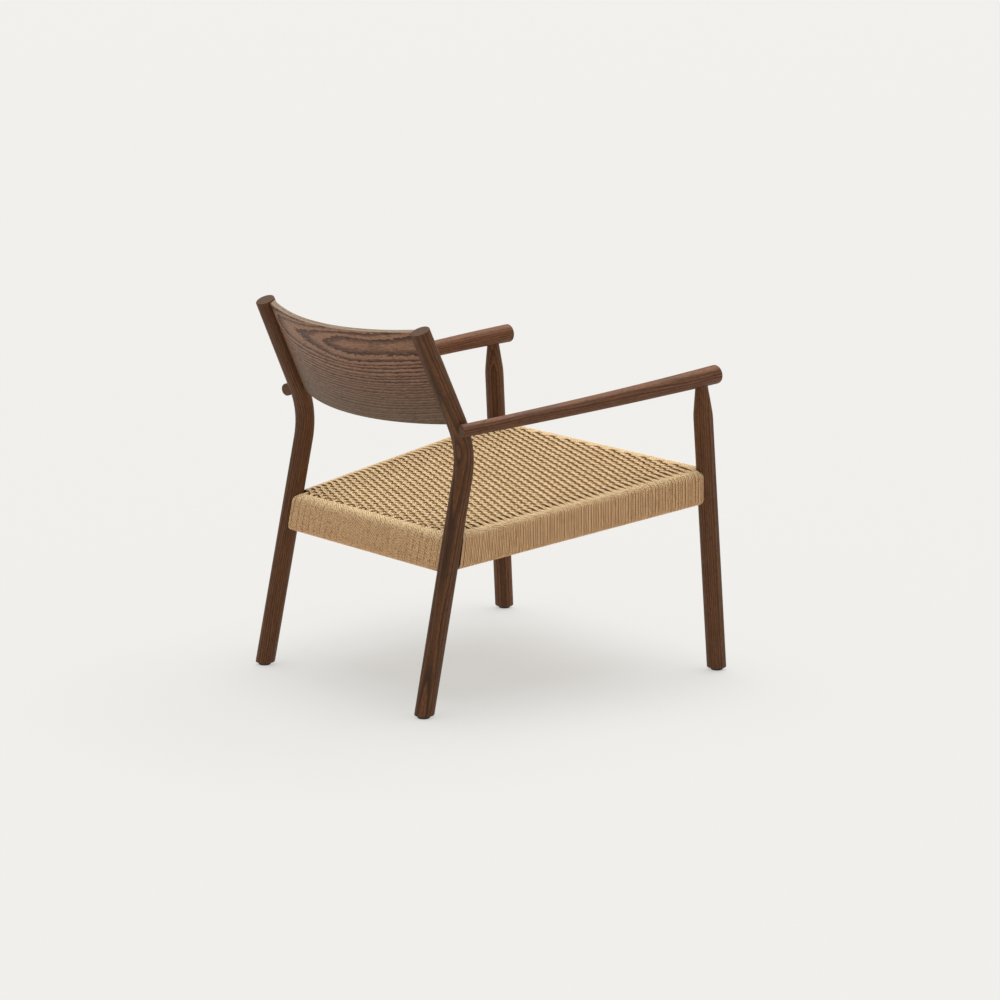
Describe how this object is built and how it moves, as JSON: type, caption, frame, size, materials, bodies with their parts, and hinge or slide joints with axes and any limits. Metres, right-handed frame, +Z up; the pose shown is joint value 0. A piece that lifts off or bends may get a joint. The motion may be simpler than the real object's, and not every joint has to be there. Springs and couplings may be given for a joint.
{
  "type": "lounge armchair",
  "caption": "Low lounge armchair with round wooden legs, bowed arms, a bent wooden back panel and a sloping seat of woven paper cord.",
  "frame": {"origin": "on the floor, under the middle of the chair's bounding box", "axes": "+Z up; the sitter faces -Y, so the back is at +Y; +X is the sitter's left"},
  "size_m": [0.698, 0.723, 0.7313],
  "materials": {
    "wood": "dark brown stained oak, satin oil",
    "frame_wood": "dark brown stained oak, smooth planed",
    "hidden_wood": "turned beech dowel",
    "cord": "natural twisted paper cord, matt",
    "glide": "dark brown moulded nylon",
    "nail": "bright steel nail"
  },
  "bodies": {
    "root": {"rear_leg_left": "wood", "front_leg_left": "wood", "arm_left": "wood", "arm_dowel_left": "hidden_wood", "rear_leg_right": "wood", "front_leg_right": "wood", "arm_right": "wood", "arm_dowel_right": "hidden_wood", "back_panel": "wood", "front_rail": "frame_wood", "rear_rail": "frame_wood", "side_rail_left": "frame_wood", "side_rail_right": "frame_wood", "front_rail_wrap": "cord", "rear_rail_wrap": "cord", "side_rail_left_wrap": "cord", "side_rail_right_wrap": "cord", "woven_seat": "cord", "glide_front_left": "glide", "glide_nail_front_left": "nail", "glide_front_right": "glide", "glide_nail_front_right": "nail", "glide_rear_left": "glide", "glide_nail_rear_left": "nail", "glide_rear_right": "glide", "glide_nail_rear_right": "nail"}
  },
  "joints": []
}
